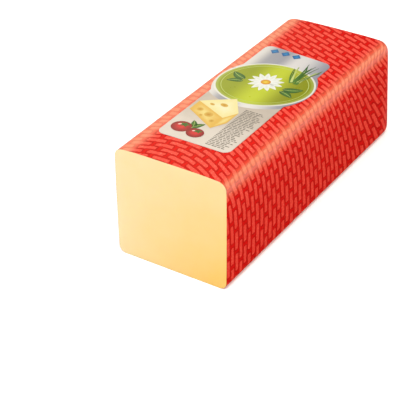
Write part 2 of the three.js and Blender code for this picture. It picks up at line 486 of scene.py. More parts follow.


# %% [markdown]
# ## The cheese
#
# The cheese is young and smooth. Its cut face shows no rind and hardly a hole, only the faint drag
# lines that a wire leaves. Its colour change is painted light: a painted sheen on the upper left,
# and painted warm reflected light in the lower right corner. A flat disc would do for the face, but
# rings let the drag lines be real shape and soften its edge. Light goes a short way into cheese, red
# further than blue, which is what the subsurface numbers say.

# %% Cheese shape
CHEESE_INSET = 0.15  # from the skin of the pack
CHEESE_PROUD = 0.3  # out of the bag's cut edge
CHEESE_SOFT_EDGE = 0.45
FACE_RINGS = 60
DRAG_LINE_PITCH = 4.3
DRAG_LINE_DEPTH = 0.02
FACE_SWELL = 0.12
RIM_SHARE = 1 / 12  # the outermost part of the face, where the relief dies away


def face_relief(x, z):
    """How far the cut face stands out: a slow swell, plus drag lines as a sine of the height, bent by
    two sines of x and made uneven by one more."""
    swell = FACE_SWELL * np.sin(x / 31 + 0.6) * np.cos(z / 37)
    bent = z + 1.6 * np.sin(x / 23) + 0.5 * np.sin(x / 7.1)
    lines = np.sin(2 * math.pi * bent / DRAG_LINE_PITCH) * (0.6 + 0.4 * np.sin(z / 5.3 + x / 40))
    return swell + DRAG_LINE_DEPTH * lines


def cheese_rings():
    """The face's rings are shares of its edge ring. A quarter turn of CHEESE_SOFT_EDGE leads onto the
    side, and the skin goes on to the far end."""
    edge = []
    for turn in np.linspace(0, math.pi / 2, 6):
        y = CHEESE_SOFT_EDGE * (1 - math.cos(turn)) - CHEESE_PROUD
        edge.append(rings_at(CHEESE_INSET + CHEESE_SOFT_EDGE * (1 - math.sin(turn)), [y], [0.0]))
    edge = np.concatenate(edge)
    middle = np.array([0.0, edge[0, 0, 1], PACK_HEIGHT / 2])
    share = np.linspace(0, 1, FACE_RINGS, endpoint=False)[1:, None, None]
    face = middle + (edge[0] - middle) * share
    calm_rim = share_of(share[..., 0], 1, 1 - RIM_SHARE)
    face[..., 1] -= face_relief(face[..., 0], face[..., 2]) * calm_rim
    middle[1] -= face_relief(middle[0], middle[2])
    core = skin(CHEESE_INSET, np.linspace(2, PACK_LENGTH - END_ROUND_TOP, 12, endpoint=False), 12)
    return middle, np.concatenate([face, edge, core])


# %% Cheese finish
FACE_LIGHT = 1.64  # light on the cut face, where 1 would show white paper as white
# painted light: a painted sheen at the upper left, painted warm reflected light at the lower right
SHEEN_PAINTED_CREAM = seen((255, 232, 179), FACE_LIGHT)
REFLECTION_PAINTED_YELLOW = seen((255, 205, 104), FACE_LIGHT)
DEEPENING_ACROSS = 0.6  # power of the share of the way from left to right
DEEPEST_AT_BASE = 1.06
DEEPENING_LOST = 0.74  # from base to top


def cheese_finish():
    """The colour is painted light, deepening as across to a power times down, plus a cloud."""
    material, tree, shader = new_material("cheese")
    place = pack_position(tree)
    x, _, z = split(place)
    across = (x * 0.01).calculate("ADD", 0.5, clamp=True).calculate("POWER", DEEPENING_ACROSS)
    down = z * (-DEEPENING_LOST / PACK_HEIGHT) + DEEPEST_AT_BASE
    cloud = use_group(MOTTLE, place, Size=24.0, Amount=0.3)
    painted_light_share = (across * down).calculate("ADD", cloud, clamp=True)
    looks = {
        "Base Color": mix(painted_light_share, SHEEN_PAINTED_CREAM, REFLECTION_PAINTED_YELLOW),
        "Roughness": use_group(MOTTLE, place, Size=9.0, Amount=0.18) + 0.42,
        "Specular IOR Level": 0.25,
        "Subsurface Weight": 0.35,
        "Subsurface Radius": (1.0, 0.55, 0.22),
        "Subsurface Scale": 0.004,
        "Normal": bump(use_group(RELIEF, place, Size=0.9, Coarse=0.5), 0.00012),
    }
    fill(shader, looks)
    return material


face_middle, rings = cheese_rings()
make_piece("cheese_block", [closed_surface(rings, face_middle)], cheese_finish(), ["cheese"])

# %% [markdown]
# ## The bag
#
# The bag is a tube of shrink film, printed all over with short dashes in running bond, like bricks.
# It was welded across at its far end, then drawn tight by heat: the film gathers into small pleats
# round the weld, and the weld's tail lies folded down. At the near end it is cut flush with the
# slice.
#
# A simulated cloth could shrink onto the loaf, but a tight film has nothing left to drape. So it is
# one closed surface of rings: an inner skin, the cut edge, the outer skin, the end face drawn
# together ring by ring into the weld, and the tail.

# %% Film shape: the gathered end
FILM_THICKNESS = 0.12
WELD_HALF_WIDTH = 32.0
WELD_HALF_THICKNESS = 0.28
WELD_HEIGHT = PACK_HEIGHT / 2 - 0.45
WELD_LIFT = 1.0  # how far the weld's root is drawn off the end face
GATHER_RINGS = 34
PLEAT_HEIGHT = 1.3
PLEAT_WAVES = [(1.0, 3.1, 0.0), (0.6, 1.9, 1.3), (0.5, 6.7, 0.4)]  # height, length, start
SIDE_MIDDLE = 98  # distance around from the middle of the top to the middle of a side
SIDE_REACH = 46


def pleats(girth, share):
    """Height of the pleats: three waves around the girth that stand only outwards, and fade at the
    rim and at the weld. The two sides have furthest to gather, so they stand tallest there."""
    waves = sum(height * np.sin(girth / length + start) for height, length, start in PLEAT_WAVES)
    waves /= sum(height for height, _, _ in PLEAT_WAVES)
    on_sides = np.exp(-(((np.abs(girth) - SIDE_MIDDLE) / SIDE_REACH) ** 2))
    fade = np.sin(math.pi * share**1.4) ** 0.8
    return PLEAT_HEIGHT * (0.25 + 0.75 * on_sides) * fade * share_of(waves, -1, 1) ** 2


def gathered_end(rim, girth):
    """Rings from the rim to the weld: a straight blend of the two, lifted towards the weld and
    pleated. The weld is the rim with its x and its height drawn together."""
    share = np.linspace(0, 1, GATHER_RINGS + 1)[1:, None]
    rise = rim[:, 2] - (rim[:, 2].max() + rim[:, 2].min()) / 2
    rise *= WELD_HALF_THICKNESS / np.abs(rise).max()
    x = rim[:, 0] * (WELD_HALF_WIDTH / np.abs(rim[:, 0]).max())
    root_y = PACK_LENGTH + END_SLOPE * (1 - WELD_HEIGHT / PACK_HEIGHT)
    goal = np.stack([x, np.full_like(x, root_y), WELD_HEIGHT + rise], axis=-1)
    rings = rim + (goal - rim) * share[..., None]
    rings[..., 1] += WELD_LIFT * share**4 + pleats(girth, share)
    return rings


# %% Film shape: the folded tail
TAIL_BEND_RADIUS = 0.6
TAIL_BEND_STEPS = 8
TAIL_LENGTH = 9.0
TAIL_RINGS = 44
TAIL_STAND_OFF = 0.045  # how far it leans away from the loaf, per millimetre of hang
TAIL_NARROWING = 0.012
WELD_RIB_PITCH = 1.1
WELD_RIB_HEIGHT = 0.07


def folded_tail(root):
    """Rings along the tail's middle line: a quarter turn from backwards to down, then straight. A
    ring keeps the weld's x, and its thickness points across the line. Ribs from the welding jaws
    thicken it in a sine, and the free edge waves a little."""
    bend = np.linspace(0, math.pi / 2, TAIL_BEND_STEPS)
    turn = np.concatenate([bend, np.full(TAIL_RINGS, math.pi / 2)])[1:, None]
    down = np.linspace(0, TAIL_LENGTH, TAIL_RINGS + 1)[1:]
    hang = np.concatenate([np.zeros(TAIL_BEND_STEPS), down])[1:, None]
    x, rise = root[:, 0], root[:, 2] - WELD_HEIGHT
    ribs = WELD_RIB_HEIGHT * np.sin(2 * math.pi * hang / WELD_RIB_PITCH) * (hang > 0)
    wave = (0.25 * np.sin(x / 5.2 + 0.5) + 0.15 * np.sin(x / 2.3)) * (hang / TAIL_LENGTH) ** 1.5
    half = rise * (1 + ribs / WELD_HALF_THICKNESS)
    y = root[:, 1] + TAIL_BEND_RADIUS * np.sin(turn) + half * np.sin(turn) + wave + TAIL_STAND_OFF * hang
    z = WELD_HEIGHT - TAIL_BEND_RADIUS * (1 - np.cos(turn)) - hang + half * np.cos(turn)
    narrowed = x * (1 - TAIL_NARROWING * (hang / TAIL_LENGTH) ** 2)
    return np.stack(np.broadcast_arrays(narrowed, y, z), axis=-1)


# %% Film shape: the whole bag
NEAR_STATIONS = [0.0, 0.12, 0.4, 1.0, 2.2]  # rings crowd together at the cut edge
INNER_STATIONS = [0.0, 0.3, 3.0, 60.0, 140.0, 220.0]
STRAIGHT_STEP = 4.0
SKIN_WAVE = 0.05
WAVES_START = (44, 54)  # distance around from the middle of the top, beside the label
WAVES_END = (146, 134)  # and towards the base


def tautness(girth, y):
    """The unevenness of film drawn over cheese: two slow waves, calm under the label and on the
    base."""
    waves = np.sin(girth / 17 + y / 41) * np.sin(y / 23 - girth / 60) + 0.5 * np.sin(y / 9.7 + girth / 8)
    away = np.abs(girth)
    return SKIN_WAVE * waves * share_of(away, *WAVES_START) * share_of(away, *WAVES_END)


def girth_of(ring):
    """Distance around from the middle of the top, positive on the right, at each column and once more
    at the end of the turn."""
    steps = np.linalg.norm(np.diff(ring, axis=0, append=ring[:1]), axis=1)
    travelled = np.concatenate([[0.0], np.cumsum(steps)])
    return travelled[-1] / 2 - travelled


def bag_rings():
    straight = np.arange(STRAIGHT_STEP, PACK_LENGTH - END_ROUND_TOP - 1, STRAIGHT_STEP)
    outer = skin(0.0, np.concatenate([NEAR_STATIONS, straight]), 18)
    girth = girth_of(outer[0])
    around = girth[:-1]
    outwards = outer[0] - [0.0, 0.0, PACK_HEIGHT / 2]
    outwards /= np.linalg.norm(outwards, axis=1, keepdims=True)
    outer += outwards * tautness(around, outer[..., 1])[..., None]
    end = gathered_end(outer[-1], around)
    inner = skin(FILM_THICKNESS, INNER_STATIONS, 8)[::-1]
    return inner, np.concatenate([outer, end, folded_tail(end[-1])]), girth


inner_rings, outer_rings, GIRTH = bag_rings()
print(f"the film measures {GIRTH[0] - GIRTH[-1]:.0f} mm around")

# %% [markdown]
# ## The print on the film
#
# The dashes follow the film round the edges and into the gathered end, so the film gets a UV map in
# millimetres: across for the distance around, and up for the distance from the cut edge along it.
#
# The heat that shrank the bag pulled its print about, and each row of dashes dips towards the cut end
# at the right long edge. It is easier to say how steeply a row climbs at a place than where it lies,
# so the slope is the rule, and a running sum around the loaf turns it into a distance.
#
# The dashes could be thousands of little meshes. A rule is lighter and never loses its sharpness:
# fold the two coordinates into one cell of the pattern, shift every other row, and measure how far a
# point is from a rounded rectangle.

# %% Print coordinates
ROW_APEX = -8.0  # place around the top where the rows run level near the cut end
ROW_BEND = 0.0168  # how fast their slope grows away from there
NEAR_TOP_SLOPES = (-0.62, 0.35)  # the steepest there, on the right and on the left
FAR_TOP_SLOPE = -0.42
TOP_CHANGES = (20, 205)  # distance along the film, from the near rule to the far one
ONTO_SIDE = (45, 59)  # distance around, from the top's rule to the side's
SIDE_TOP = 55
SIDE_START, SIDE_START_GROWTH = 0.62, 0.5
SIDE_REACH_NEAR, SIDE_REACH_GROWTH = 18, 92
UNDER_LOAF = (132, 190)
ONTO_LEFT = (-58, -46)
FILM_CORNER = 52.0  # distance around to the middle of a long top edge
EDGE_FALL = 1.5  # slope of the far rows over that edge
EDGE_FALL_GROWS = (100, 300)
EDGE_FALL_REACH = 5
LAST_PULLED = 262.0  # beyond this distance the slopes stay as they are
LEFT_EDGE = -56  # the left side and the base take up what is left over, from here on
STRETCH_NEAR, STRETCH_GROWTH = 10, 17  # millimetres over the whole right side
STRETCH_GROWS = (150, 250)
RIGHT_SIDE = (54, 150)
ROW_WIDENING = 0.00005


def row_slope(around, along):
    """How far a row climbs per millimetre around. Over the top it falls off to both sides of ROW_APEX
    near the cut end and is one slope at the far end. Down the right side it dies away as
    exp(-distance / reach), where start and reach grow along the film. Over the edge the far rows fall
    steeply."""
    along = np.minimum(along, LAST_PULLED)
    share = along / LAST_PULLED
    near_top = np.clip(-ROW_BEND * (around - ROW_APEX), *NEAR_TOP_SLOPES)
    over_top = near_top + (FAR_TOP_SLOPE - near_top) * smooth_step(along, *TOP_CHANGES)
    start = SIDE_START + SIDE_START_GROWTH * share**3
    reach = SIDE_REACH_NEAR + SIDE_REACH_GROWTH * share**2.2
    down_side = start * np.exp(-(around - SIDE_TOP) / reach) * (1 - smooth_step(around, *UNDER_LOAF))
    slope = over_top + (down_side - over_top) * smooth_step(around, *ONTO_SIDE)
    fall = EDGE_FALL * smooth_step(along, *EDGE_FALL_GROWS)
    slope -= fall * np.exp(-(((around - FILM_CORNER) / EDGE_FALL_REACH) ** 2))
    return slope * smooth_step(around, *ONTO_LEFT)


def print_shift(around, along):
    """How far the print is moved along the film: the running sum of the slope, zero at ROW_APEX. The
    left side takes up what is left over, so that the rows meet under the loaf."""
    slope = row_slope(around[None], along[:, None])
    pieces = (slope[:, 1:] + slope[:, :-1]) / 2 * np.diff(around)
    total = np.concatenate([np.zeros((len(along), 1)), np.cumsum(-pieces, axis=1)], axis=1)
    shift = total - total[:, [np.abs(around - ROW_APEX).argmin()]]
    left_over = shift[:, :1] - shift[:, -1:]
    return shift + left_over * (1 - smooth_step(around, around[-1], LEFT_EDGE))


def print_stretch(around, along):
    """How far the print is moved around: the dashes of the right side are drawn out, most of all at
    the far end, and those below and on the left take up less."""
    gain = STRETCH_NEAR + STRETCH_GROWTH * smooth_step(along[:, None], *STRETCH_GROWS)
    return -gain * (share_of(around, *RIGHT_SIDE) + (1 - smooth_step(around, around.min(), LEFT_EDGE)))


# The distance along the film from the cut edge, ring by ring. The inner skin stays at zero.
steps = np.linalg.norm(np.diff(outer_rings, axis=0), axis=-1)
inner_way = np.zeros((len(inner_rings) + 1, steps.shape[1]))
FILM_WAY = np.concatenate([inner_way, np.cumsum(steps, axis=0)])


def print_coordinates():
    """Across and along for each face corner. The rows stand a little wider apart at the far end."""
    way = np.concatenate([FILM_WAY, FILM_WAY[:, :1]], axis=1)
    ring_way = FILM_WAY.mean(axis=1)
    across = GIRTH + print_stretch(GIRTH, ring_way)
    along = way - ROW_WIDENING * way**2 + print_shift(GIRTH, ring_way)
    return corner_coordinates(across, along)


# %% The dash pattern as a group
DASH_SIZES = {"Length": 14.3, "Pitch": 18.5, "Width": 3.8, "Row": 6.05}
DASH_SIZES |= {"Stagger": 0.45, "Corner": 0.9, "Softness": 0.45}
RIM_PLACE = 0.55  # how far outside a dash its dark rim is deepest
RIM_INNER, RIM_OUTER = 0.1, 0.7  # full up to the first distance from there, gone at the second

DASH_PRINT, dash = new_group("dash print", DASH_SIZES)
spot_x, spot_y, _ = split(dash["Position"])
rows = spot_y / dash["Row"]
odd = rows.calculate("FLOOR").calculate("PINGPONG", 1.0)
cells = spot_x / dash["Pitch"] + odd * dash["Stagger"]


def beyond_core(cell, pitch, size):
    """How far a point is past the dash's straight core in one direction: the distance from the cell's
    middle, less half the dash, plus the corner's radius, and never under zero."""
    distance = (cell.calculate("FRACT") - 0.5).calculate("ABSOLUTE") * pitch
    return (distance - (size * 0.5 - dash["Corner"])).calculate("MAXIMUM", 0.0)


past_x = beyond_core(cells, dash["Pitch"], dash["Length"])
past_y = beyond_core(rows, dash["Row"], dash["Width"])
outside = (past_x * past_x + past_y * past_y).calculate("SQRT") - dash["Corner"]
inside_dash = outside.ramp(dash["Softness"], dash["Softness"] * -1.0)
rim = (outside - RIM_PLACE).calculate("ABSOLUTE").ramp(RIM_OUTER, RIM_INNER)
end_group(DASH_PRINT, {"Dash": inside_dash, "Rim": rim})
print("the dash pattern takes", ", ".join(dash))

# %% Film finish
GROUND_RED = (0.48, 0.0052, 0.0036, 1.0)
DASH_RED = (0.60, 0.058, 0.040, 1.0)
SPECK_RED = (0.66, 0.12, 0.08, 1.0)
RIM_RED = (0.27, 0.0045, 0.0026, 1.0)
# painted shade: the print is darkened down the sides, where less light falls
PAINTED_SHADE_RED = (0.86, 0.62, 0.58, 1.0)  # shade of the print down the sides
# painted highlight: a pale orange band of colour along each long top edge, under the real gloss
PAINTED_HIGHLIGHT_RED = (0.62, 0.19, 0.085, 1.0)  # where the film is drawn over a long edge
GROUND_COVER = 0.62  # how far it covers the ground there
DASH_COVER = 0.92
AROUND_DASHES = 21  # dashes once around the bag
DASH_END_GAP = 4.0
PRINT_WANDER = [(0.11, 2.0, (2.4, 1.5, 0.0)), (0.8, 1.0, (2.2, 1.3, 0.0))]  # scale, detail, reach
HALF = (0.5, 0.5, 0.5)
TOP_GLOSS = 0.13
EDGE_GLOSS = 0.8
SIDE_GLOSS = 0.03
END_GLOSS = 0.2
PAINTED_SHADE_RANGE = (50.0, 92.0)  # distances around from the middle of the top
PAINTED_HIGHLIGHT_RISE, PAINTED_HIGHLIGHT_FADE = (42.5, 49.5), (52.0, 65.0)
GLOSS_RISE, GLOSS_FALL = (40.0, 49.0), (50.0, 61.0)
LEFT_LEAD, LEFT_STRIP = 10.0, ((14, 27), (42, 56))
RIGHT_LEAD, RIGHT_STRIP = 1.5, ((32, 42), (46, 60))
RIGHT_LEAD_GROWS = (20, 90)  # distances along the film
END_TURN = (PACK_LENGTH - 14, PACK_LENGTH + 5)  # where the film turns onto the end face


def film_gloss(away, on_block):
    """How much clear gloss shows: most along the two long top edges, where the film is drawn
    smoothest, and less over the top, down the sides and on the gathered end."""
    over_top = away.ramp(*GLOSS_RISE, TOP_GLOSS, EDGE_GLOSS)
    return mix_numbers(on_block, END_GLOSS, over_top * away.ramp(*GLOSS_FALL, 1.0, SIDE_GLOSS))


def film_colour(place, dash, away, on_block):
    """Ground and rims, dashes of uneven ink, painted shade down the sides, and a painted highlight: the
    pale strip where the film is drawn over a long edge."""
    ground = mix(dash.beside("Rim") * 0.85, GROUND_RED, RIM_RED)
    specks = noise(place, scale=0.62, detail=2.0).ramp(0.52, 0.72)
    strength = use_group(MOTTLE, place, Size=2.2, Amount=1.1).calculate("ADD", 0.88, clamp=True)
    colour = mix(dash * strength, ground, mix(specks, DASH_RED, SPECK_RED))
    # painted shade: darker down the sides
    colour = mix(away.ramp(*PAINTED_SHADE_RANGE), colour, PAINTED_SHADE_RED, "MULTIPLY")
    # painted highlight: a pale strip along each long top edge, only on the straight part of the bag
    painted_edge_highlight = away.ramp(*PAINTED_HIGHLIGHT_RISE) * away.ramp(*PAINTED_HIGHLIGHT_FADE, 0.5, 0.0)
    cover = dash.ramp(0.0, 1.0, GROUND_COVER, DASH_COVER)
    return mix(painted_edge_highlight * on_block * cover, colour, PAINTED_HIGHLIGHT_RED)


def film_finish():
    material, tree, shader = new_material("printed_film")
    place = moved = put(tree, "ShaderNodeUVMap", uv_map="print")
    for scale, detail, reach in PRINT_WANDER:
        off = noise(place, scale, detail, output=1).calculate_vector("SUBTRACT", HALF)
        moved = off.calculate_vector("MULTIPLY_ADD", reach, moved)
    pitch = (GIRTH[0] - GIRTH[-1]) / AROUND_DASHES
    dash = use_group(DASH_PRINT, moved, Pitch=pitch, Length=pitch - DASH_END_GAP)
    away, on_block = attribute(tree, "away"), attribute(tree, "on_block")
    height = dash * 0.25 + use_group(RELIEF, place, Size=1.6, Coarse=0.7)
    looks = {
        "Base Color": film_colour(place, dash, away, on_block),
        "Roughness": use_group(MOTTLE, place, Size=14.0, Amount=0.14) + 0.5,
        "Specular IOR Level": 0.0,
        "Coat Weight": film_gloss(away, on_block),
        "Coat Roughness": 0.3,
        "Coat IOR": 1.5,
        "Normal": bump(height, 0.00008),
    }
    fill(shader, looks)
    return material


bag_surface = closed_surface(np.concatenate([inner_rings, outer_rings]))
bag = make_piece("shrink_bag", [bag_surface], film_finish(), ["bag"])
print_map = bag.data.uv_layers.new(name="print")
print_map.data.foreach_set("uv", print_coordinates().ravel())


def away_from_middle():
    """Distance around from the middle of the top for each point of the bag. The film is drawn smooth
    over a wider strip at the left edge, so the distance runs ahead there, and a little on the right
    away from the cut. The gloss, the painted highlight and the painted shade all follow this
    distance."""
    around = GIRTH[:-1]
    away = np.abs(around)

    def strip(rise, fall):
        return smooth_step(away, *rise) * (1 - smooth_step(away, *fall))

    left = LEFT_LEAD * strip(*LEFT_STRIP) * (around < 0)
    right = RIGHT_LEAD * strip(*RIGHT_STRIP) * (around > 0)
    return away + left + right * smooth_step(FILM_WAY, *RIGHT_LEAD_GROWS)


def with_poles(values):
    """Rings × columns as one row, with each pole's mean at its end."""
    return np.concatenate([[values[0].mean()], values.ravel(), [values[-1].mean()]])


store_on_points(bag, "away", with_poles(away_from_middle()))
store_on_points(bag, "on_block", with_poles(1 - smooth_step(FILM_WAY, *END_TURN)))

# %% [markdown]
# ## The label
#
# The label is die-cut from glossy film: a rounded rectangle with an oval that bulges past both its
# long sides. A filled outline has no points inside and can't bend over the crowned top. So for each
# distance from the cut face the two shapes say how far the label reaches to the left and to the
# right, and a grid fills the space between. Each row is one ring of the closed plate: along its
# underside and back along its top.

# %% Label shape
label_low, label_high = (np.array(corner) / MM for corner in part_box("label"))
LABEL_NEAR = label_low[1] - CUT
LABEL_FAR = 204.3  # along the label's middle
LABEL_SLANT = 5.5  # how much further back the far edge lies on the left than on the right
LABEL_WIDTH = 65.0
LABEL_CORNER = 6.5
LABEL_OFFSET = -2.8
LABEL_COLUMNS = 57
OVAL_HALF_WIDTH = (label_high[0] - label_low[0]) / 2
OVAL_OFFSET = (label_high[0] + label_low[0]) / 2
OVAL_HALF_LENGTH = 44.0
OVAL_CENTRE = 143.5
OVAL_RISE = 4.0  # the oval sits a little askew: its right half lies this much further back
LABEL_UNDER = 0.08  # over the film's top
LABEL_TOP = 0.3
INK = 0.04  # height of each printed layer
SUNK = 0.9  # share of it that a printed plate is thick


def drape(x, y, height):
    """Points at a height over the pack's crowned top."""
    z = PACK_HEIGHT - TOP_CROWN * (2 * np.abs(x) / PACK_WIDTH) ** CROWN_POWER + height
    return np.stack(np.broadcast_arrays(x, y, z), axis=-1)


def label_edges(y):
    """How far the label reaches to the left and right at y: the wider of the rounded rectangle and
    the oval."""
    into_corner = np.maximum(LABEL_CORNER - np.minimum(y - LABEL_NEAR, LABEL_FAR - y), 0)
    rounding = LABEL_CORNER - np.sqrt(np.maximum(LABEL_CORNER**2 - into_corner**2, 0))
    half = LABEL_WIDTH / 2 - rounding

    def oval_reach(centre):
        along = (y - centre) / OVAL_HALF_LENGTH
        return OVAL_HALF_WIDTH * np.sqrt(np.maximum(1 - along**2, 0))

    left = np.minimum(LABEL_OFFSET - half, OVAL_OFFSET - oval_reach(OVAL_CENTRE - OVAL_RISE))
    right = np.maximum(LABEL_OFFSET + half, OVAL_OFFSET + oval_reach(OVAL_CENTRE + OVAL_RISE))
    return left, right


def label_rows():
    """A row for each millimetre, and crowded rows where the corners turn."""
    corner = LABEL_CORNER * (1 - np.cos(np.linspace(0, math.pi / 2, 10)))
    plain = np.arange(LABEL_NEAR + LABEL_CORNER, LABEL_FAR - LABEL_CORNER, 1.0)[1:]
    return np.unique(np.round(np.concatenate([LABEL_NEAR + corner, LABEL_FAR - corner, plain]), 4))


def slanted(x, y):
    """y with the far half turned askew: the shift grows as the square of the distance from the oval's
    centre, to LABEL_SLANT from side to side at the far edge."""
    beyond = np.clip((y - OVAL_CENTRE) / (LABEL_FAR - OVAL_CENTRE), 0, None) ** 2
    return y - LABEL_SLANT * beyond * (x - LABEL_OFFSET) / LABEL_WIDTH


def label_plate():
    y = label_rows()[:, None]
    left, right = label_edges(y)
    across = left + (right - left) * np.linspace(0, 1, LABEL_COLUMNS)
    back = across[:, ::-1]
    under = drape(across, slanted(across, y), LABEL_UNDER)
    over = drape(back, slanted(back, y), LABEL_TOP)
    return np.concatenate([under, over], axis=1)


# %% [markdown]
# ## Inks and foils
#
# The ground of the label has four fields: a green oval in the bulge, a silver end beyond it, a cream
# field at the near end, and a silver crescent between oval and cream. One number tells them apart,
# the reach: 1 on the oval's edge, less inside and more outside. So the plate's own material draws the
# fields, sharp at any distance. The shapes on top share one ink finish with two colours each, for
# tone 0 and tone 1.

# %% Label ground
TOP_LIGHT = 1.85  # light on the label, where 1 would show white paper as white
GREEN_HALF_WIDTH = 39.8
GREEN_HALF_LENGTH = 36.5
GREEN_REACH = 0.98
RIM_REACH = 1.025  # the pale line round the green oval ends here
CRESCENT_REACH = 1.17
CREAM_DEEPENS = (38.0, 102.0)


def inked(red, green, blue):
    """An ink's surface colour from the screen colour that it should show."""
    return seen((red, green, blue), TOP_LIGHT)


def green_reach(x, y):
    """The root of across² + along², in half lengths from the centre of the oval, which rises to the
    right."""
    off_x = (x - OVAL_OFFSET) * (1 / GREEN_HALF_WIDTH)
    off_y = (y - OVAL_CENTRE - off_x * OVAL_RISE) / GREEN_HALF_LENGTH
    return (off_x * off_x + off_y * off_y).calculate("SQRT")


def green_ink(x, reach):
    """Bright along the middle, deeper to both sides, with a pale band just inside the rim."""
    sides = mix(x.ramp(-30.0, 12.0), inked(154, 166, 20), inked(146, 152, 10))
    green = mix(x.calculate("ABSOLUTE").ramp(1.0, 24.0), inked(202, 213, 44), sides)
    return mix(reach.band(0.93, 1.0, 0.03) * 0.45, green, inked(196, 206, 110))


def foil(x):
    """Silver with painted highlights: a bright streak right of the middle and a fainter one at the
    left edge.
    """
    # painted highlights on the foil
    streak = x.ramp(-12.0, 3.0) * x.ramp(31.0, 6.0)
    bright = streak.calculate("MAXIMUM", x.ramp(-21.0, -34.0, 0.0, 0.8))
    return mix(bright, inked(168, 168, 182), inked(240, 236, 238))


def label_finish():
    material, tree, shader = new_material("label_ground")
    place = pack_position(tree)
    x, y, _ = split(place)
    reach = green_reach(x, y)
    cloud = use_group(MOTTLE, place, Size=12.0, Amount=0.7)
    deeper = y.ramp(*CREAM_DEEPENS).calculate("ADD", cloud, clamp=True)
    cream = mix(deeper, inked(236, 223, 210), inked(206, 192, 178))
    crescent = reach.ramp(CRESCENT_REACH, CRESCENT_REACH - 0.01)
    outer = y.ramp(OVAL_CENTRE - 2, OVAL_CENTRE + 2).calculate("MAXIMUM", crescent)
    is_silver = outer * reach.ramp(RIM_REACH - 0.005, RIM_REACH)
    colour = mix(is_silver, cream, foil(x))
    colour = mix(reach.band(GREEN_REACH + 0.005, RIM_REACH, 0.004), colour, inked(240, 238, 226))
    looks = {
        "Base Color": mix(reach.ramp(GREEN_REACH + 0.01, GREEN_REACH), colour, green_ink(x, reach)),
        "Metallic": is_silver * 0.25,
        "Roughness": use_group(MOTTLE, place, Size=16.0, Amount=0.12) + 0.3,
        "Specular IOR Level": 0.12,
        "Normal": bump(use_group(RELIEF, place, Size=3.0, Coarse=0.8), 0.00006),
    }
    fill(shader, looks)
    return material


def ink_finish(name, first, last):
    """An ink from first at tone 0 to last at tone 1, slightly uneven."""
    material, tree, shader = new_material(name)
    cloud = use_group(MOTTLE, pack_position(tree), Size=3.5, Amount=0.35)
    share = (attribute(tree, "tone") + cloud).ramp(0.0, 1.0)
    colour = mix(share, inked(*first), inked(*last))
    fill(shader, {"Base Color": colour, "Roughness": 0.3, "Specular IOR Level": 0.12})
    return material


make_piece("label_ground", [closed_surface(label_plate())], label_finish(), ["label"])

# %% [markdown]
# ## Drawing with ink
#
# A picture would blur when looked at closely, so each printed shape is a thin closed plate that lies
# on the label. Two kinds are enough. A patch is drawn round a middle point and suits anything plump.
# A stroke follows a line and suits stems, rules and blades of grass. Both store a "tone" on each
# point, from 0 at the middle or start to 1 at the rim or end, for the inks' shading.


# %% Patches and strokes
def patch(centre, outline, layer, rings=5):
    """A plate from an outline of x, y points that runs anticlockwise: rings that grow from the centre
    to the outline on top, then shrink back underneath."""
    centre, outline = np.asarray(centre, float), np.asarray(outline, float)
    out = np.linspace(0, 1, rings + 1)[1:]
    share = np.concatenate([out, out[::-1]])[:, None, None]
    flat = centre + (outline - centre) * share
    height = LABEL_TOP + INK * layer - INK * np.repeat([0.0, SUNK], rings)[:, None]
    points = drape(flat[..., 0], flat[..., 1], height)
    top, bottom = (drape(*centre, LABEL_TOP + INK * (layer - sunk)) for sunk in (0.0, SUNK))
    tone = np.concatenate([[0.0], np.repeat(share.ravel(), len(outline)), [0.0]])
    return *closed_surface(points, top, bottom), tone


def stroke(line, width, layer):
    """A plate along a line of x, y points, half the width to each side of it. Its section is a thin
    rectangle."""
    line = np.asarray(line, float)
    slope = np.gradient(line, axis=0)
    slope /= np.linalg.norm(slope, axis=1, keepdims=True)
    side = np.stack([slope[:, 1], -slope[:, 0]], axis=-1) * np.broadcast_to(width, len(line))[:, None] / 2
    left, right = line - side, line + side
    flat = np.stack([left, line, right, right, line, left], axis=1)
    height = LABEL_TOP + INK * (layer - np.repeat([SUNK, 0.0], 3))
    tone = np.concatenate([[0.0], np.repeat(np.linspace(0, 1, len(line)), 6), [1.0]])
    return *closed_surface(drape(flat[..., 0], flat[..., 1], height)), tone


def oval(centre, half_width, half_height, turn=0.0, steps=40):
    """The centre and outline of an ellipse turned by an angle, for a patch."""
    angle = np.linspace(0, 2 * math.pi, steps, endpoint=False)
    x, y = half_width * np.cos(angle), half_height * np.sin(angle)
    turned = np.stack([x * math.cos(turn) - y * math.sin(turn), x * math.sin(turn) + y * math.cos(turn)])
    return centre, np.asarray(centre) + turned.T


def polygon(corners, layer, steps=8):
    """A patch with straight edges between its corners."""
    corners = np.asarray(corners, float)
    share = np.linspace(0, 1, steps, endpoint=False)[:, None]
    edges = [a + (b - a) * share for a, b in zip(corners, np.roll(corners, -1, axis=0))]
    return patch(corners.mean(axis=0), np.concatenate(edges), layer)


def leaf(root, tip, width, layer, bend=0.0, rings=5):
    """A leaf-shaped patch and its midrib: half the width is a sine raised to 0.8, fullest before the
    middle, and the midrib bends sideways in a sine."""
    root, tip = np.asarray(root, float), np.asarray(tip, float)
    share = np.linspace(0, 1, 24)[:, None]
    length = np.linalg.norm(tip - root)
    along = (tip - root) / length
    side = np.array([-along[1], along[0]])
    midrib = root + (tip - root) * share + side * bend * np.sin(math.pi * share)
    half = side * width / 2 * np.sin(math.pi * share**0.8) ** 0.8
    outline = np.concatenate([(midrib - half)[:-1], (midrib + half)[::-1][:-1]])
    return patch(midrib[len(midrib) // 2], outline, layer, rings), midrib


def make_print(name, shapes, ink, first, last):
    """All shapes of one ink as one piece, with their tone on each point."""
    parts = [(vertices, faces) for vertices, faces, _ in shapes]
    piece = make_piece(name, parts, ink_finish(ink, first, last))
    store_on_points(piece, "tone", np.concatenate([tone for _, _, tone in shapes]))


